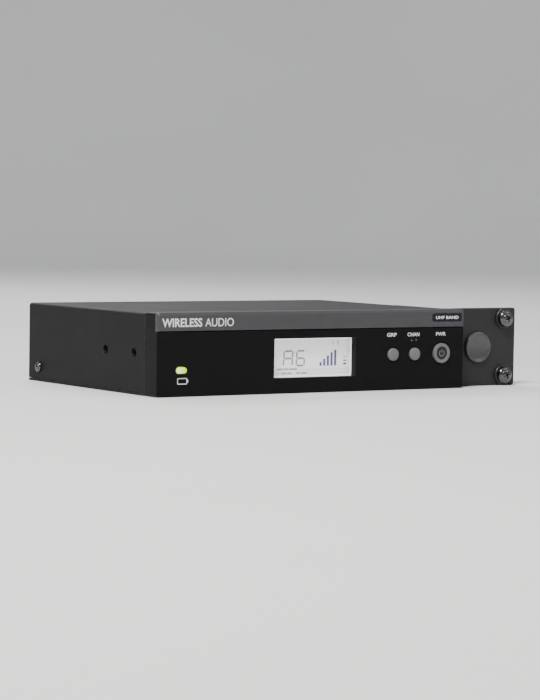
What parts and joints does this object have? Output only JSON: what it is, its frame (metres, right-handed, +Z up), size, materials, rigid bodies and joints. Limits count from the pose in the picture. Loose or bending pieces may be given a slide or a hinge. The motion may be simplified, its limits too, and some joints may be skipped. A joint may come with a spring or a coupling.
{
  "type": "wireless microphone receiver",
  "caption": "Half-rack wireless receiver with a rack ear: display, push buttons and status lamp in front, antenna, audio and power sockets and a level knob at the back.",
  "frame": {"origin": "middle of the housing's underside, half way between the front face and the rear wall and between the housing's sides", "axes": "+Z up, -Y out of the front face, +X to the right of a person facing the front, towards the rack ear"},
  "size_m": [0.2423, 0.1518, 0.0436],
  "materials": {
    "bezel_plastic": "satin black moulding",
    "housing_paint": "fine textured black powder coat",
    "strip_paint": "satin grey paint",
    "ear_paint": "dark grey powder coat",
    "label_film": "semi-gloss dark label",
    "display_glass": "backlit white display behind glass",
    "white_plastic": "white moulding",
    "lamp_lens": "lit yellow-green light pipe",
    "button_plastic": "matt mid-grey moulding",
    "circuit_board": "green solder mask",
    "plated_steel": "bright zinc plate",
    "black_screw": "black zinc plate",
    "nickel_plate": "nickel plate",
    "brass_turned": "turned brass",
    "connector_plastic": "matt black moulding",
    "nylon": "black nylon"
  },
  "bodies": {
    "receiver": {"chassis_tray": "housing_paint", "top_cover": "housing_paint", "front_bezel": "bezel_plastic", "trim_strip": "strip_paint", "band_label": "label_film", "lcd_glass": "display_glass", "lcd_holder": "white_plastic", "backlight_panel": "white_plastic", "display_board": "circuit_board", "led_light_pipe": "lamp_lens", "status_led": "white_plastic", "main_board": "circuit_board", "board_screw_left": "plated_steel", "board_screw_right": "plated_steel", "tuner_shield_a": "plated_steel", "tuner_shield_b": "plated_steel", "board_header": "nylon", "cover_screw_left": "black_screw", "cover_screw_right": "black_screw", "xlr_housing": "connector_plastic", "xlr_insert": "nylon", "xlr_pin_1": "nickel_plate", "xlr_pin_2": "nickel_plate", "xlr_pin_3": "nickel_plate", "xlr_screw_upper": "black_screw", "xlr_screw_lower": "black_screw", "jack_body": "connector_plastic", "jack_nut": "nickel_plate", "dc_jack": "connector_plastic", "dc_pin": "nickel_plate", "level_pot": "plated_steel", "level_nut": "nickel_plate", "cord_hook": "connector_plastic", "rack_ear": "ear_paint", "ear_plug": "bezel_plastic", "ear_screw_front": "black_screw", "ear_screw_rear": "black_screw", "rack_screw_upper": "black_screw", "rack_screw_lower": "black_screw", "rack_washer_upper": "nylon", "rack_washer_lower": "nylon", "group_switch": "plated_steel", "channel_switch": "plated_steel", "power_switch": "plated_steel", "antenna_a_shell": "nickel_plate", "antenna_a_insulator": "white_plastic", "antenna_a_contact": "brass_turned", "antenna_a_nut": "nickel_plate", "antenna_b_shell": "nickel_plate", "antenna_b_insulator": "white_plastic", "antenna_b_contact": "brass_turned", "antenna_b_nut": "nickel_plate"},
    "group_key": {"group_button": "button_plastic", "group_plunger": "nylon"},
    "channel_key": {"channel_button": "button_plastic", "channel_plunger": "nylon"},
    "power_key": {"power_button": "button_plastic", "power_plunger": "nylon"},
    "level_control": {"level_knob": "connector_plastic", "level_shaft": "brass_turned"}
  },
  "joints": [
    {"name": "group_press", "type": "slide", "parent": "receiver", "child": "group_key", "axis": [0, 1, 0], "range_m": [0, 0.0005], "stiffness_N_per_m": 1500, "springref_m": -0.0004},
    {"name": "channel_press", "type": "slide", "parent": "receiver", "child": "channel_key", "axis": [0, 1, 0], "range_m": [0, 0.0005], "stiffness_N_per_m": 1500, "springref_m": -0.0004},
    {"name": "power_press", "type": "slide", "parent": "receiver", "child": "power_key", "axis": [0, 1, 0], "range_m": [0, 0.0005], "stiffness_N_per_m": 1500, "springref_m": -0.0004},
    {"name": "level_turn", "type": "hinge", "parent": "receiver", "child": "level_control", "pos_m": [-0.048, 0.07025, 0.017], "axis": [0, 1, 0], "range_deg": [-150, 150]}
  ]
}
